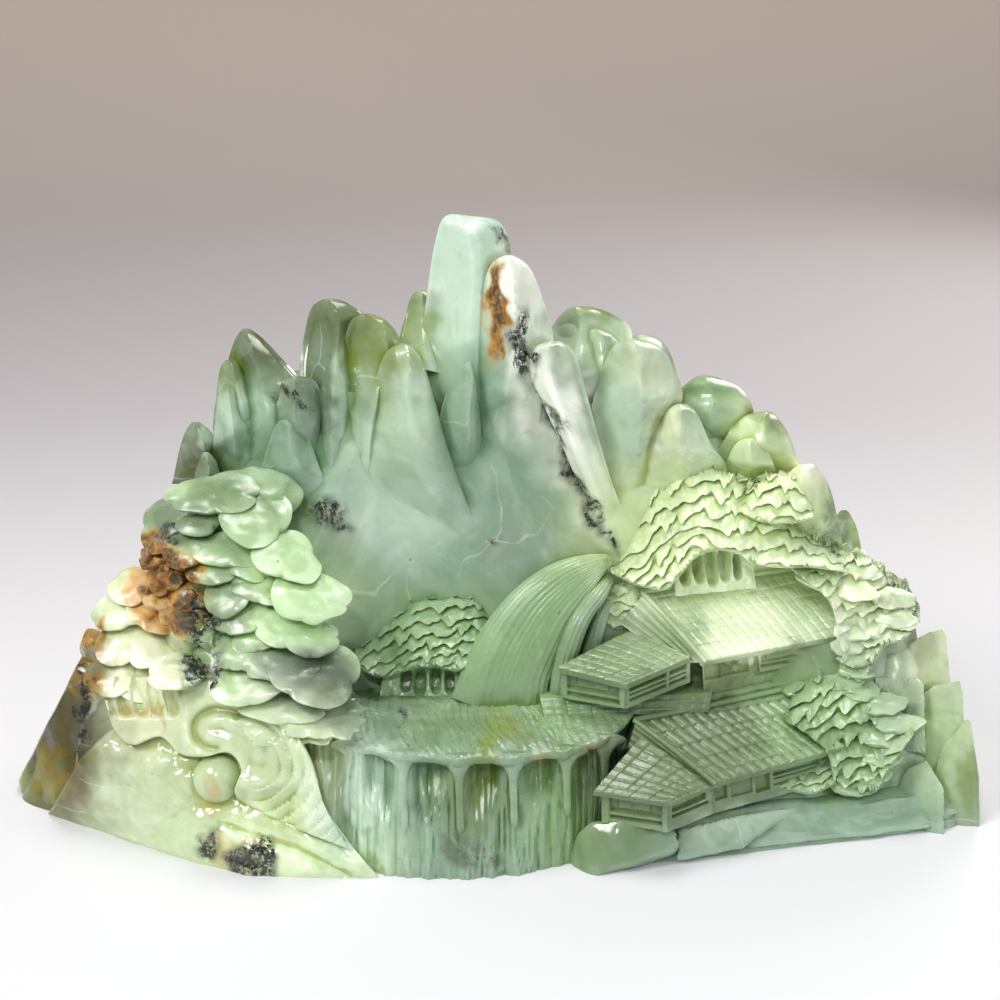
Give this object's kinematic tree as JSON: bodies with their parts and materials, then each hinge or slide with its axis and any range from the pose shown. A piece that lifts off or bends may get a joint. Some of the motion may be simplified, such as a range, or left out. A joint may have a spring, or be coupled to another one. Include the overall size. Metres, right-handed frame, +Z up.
{
  "type": "jade boulder carving",
  "caption": "Jade boulder carved as a mountain landscape, with finger peaks around a valley, a waterfall, pool and fluted curtain, layered pines and tiled halls, on a flat underside.",
  "frame": {"origin": "middle of the bounding box on the flat underside, which rests on the shelf or table", "axes": "+X to the viewer's right along the length, +Y from the carved front to the plain back, +Z up"},
  "size_m": [0.498, 0.18, 0.302],
  "materials": {
    "jade": "polished"
  },
  "bodies": {
    "root": {"jade_mountain": "jade"}
  },
  "joints": []
}
